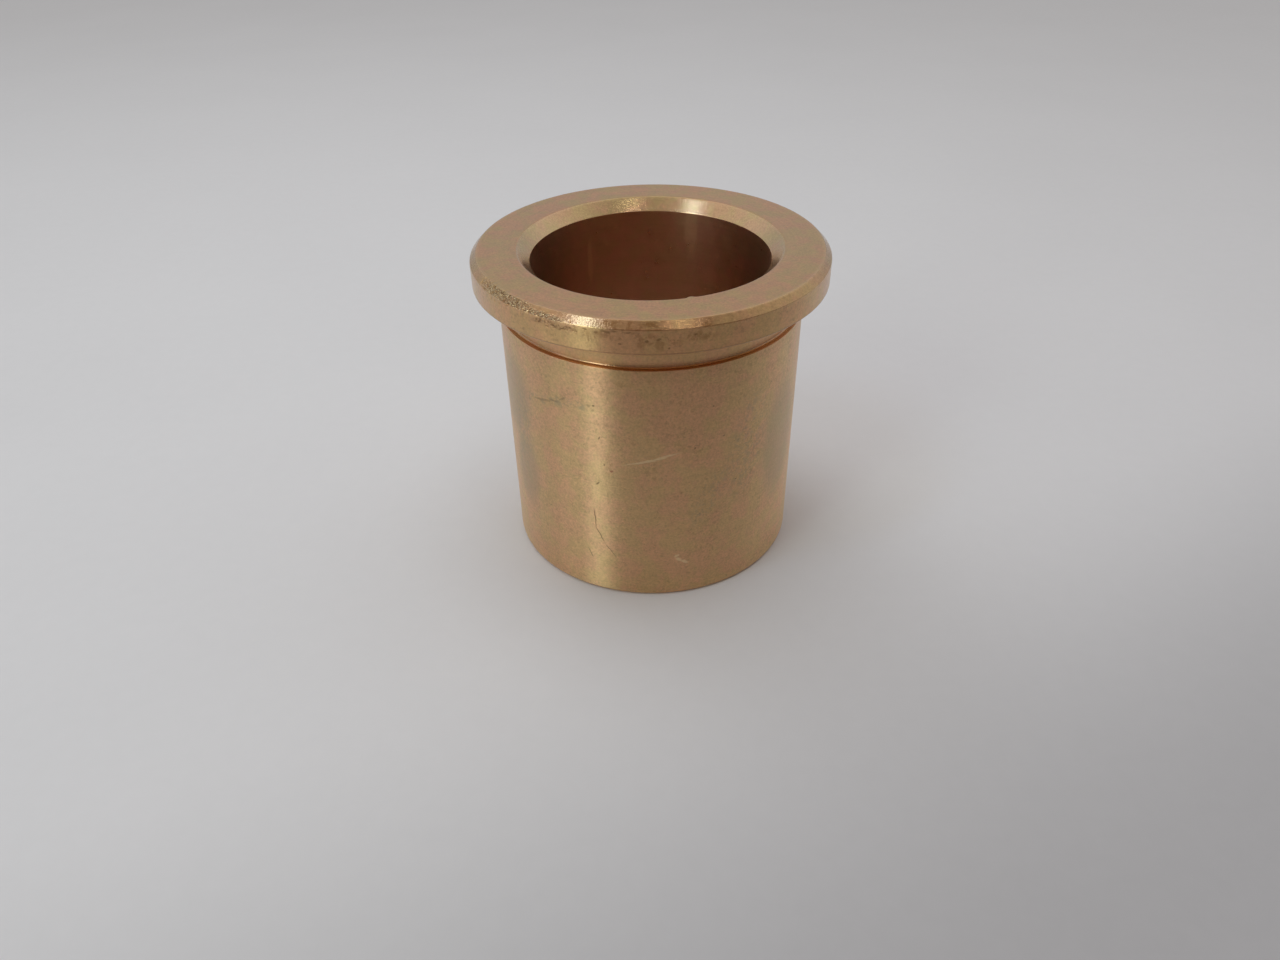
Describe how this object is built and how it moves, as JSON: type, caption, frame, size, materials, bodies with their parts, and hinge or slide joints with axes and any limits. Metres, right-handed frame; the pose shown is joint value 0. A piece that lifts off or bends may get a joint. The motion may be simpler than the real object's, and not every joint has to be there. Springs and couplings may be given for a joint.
{
  "type": "flanged sleeve bushing",
  "caption": "Plain bronze sleeve bushing, turned in one piece, with a collar flange, a shallow relief neck under it and a countersunk bore.",
  "frame": {"origin": "centre of the lower end face, on the bore's axis, where the bushing stands", "axes": "+Z along the bore towards the flange; the part is round, so +X and +Y are free"},
  "size_m": [0.052, 0.052, 0.048],
  "materials": {
    "bronze": "turned cast bronze, satin, with fine circumferential tool marks"
  },
  "bodies": {
    "root": {"flanged_bushing": "bronze"}
  },
  "joints": []
}
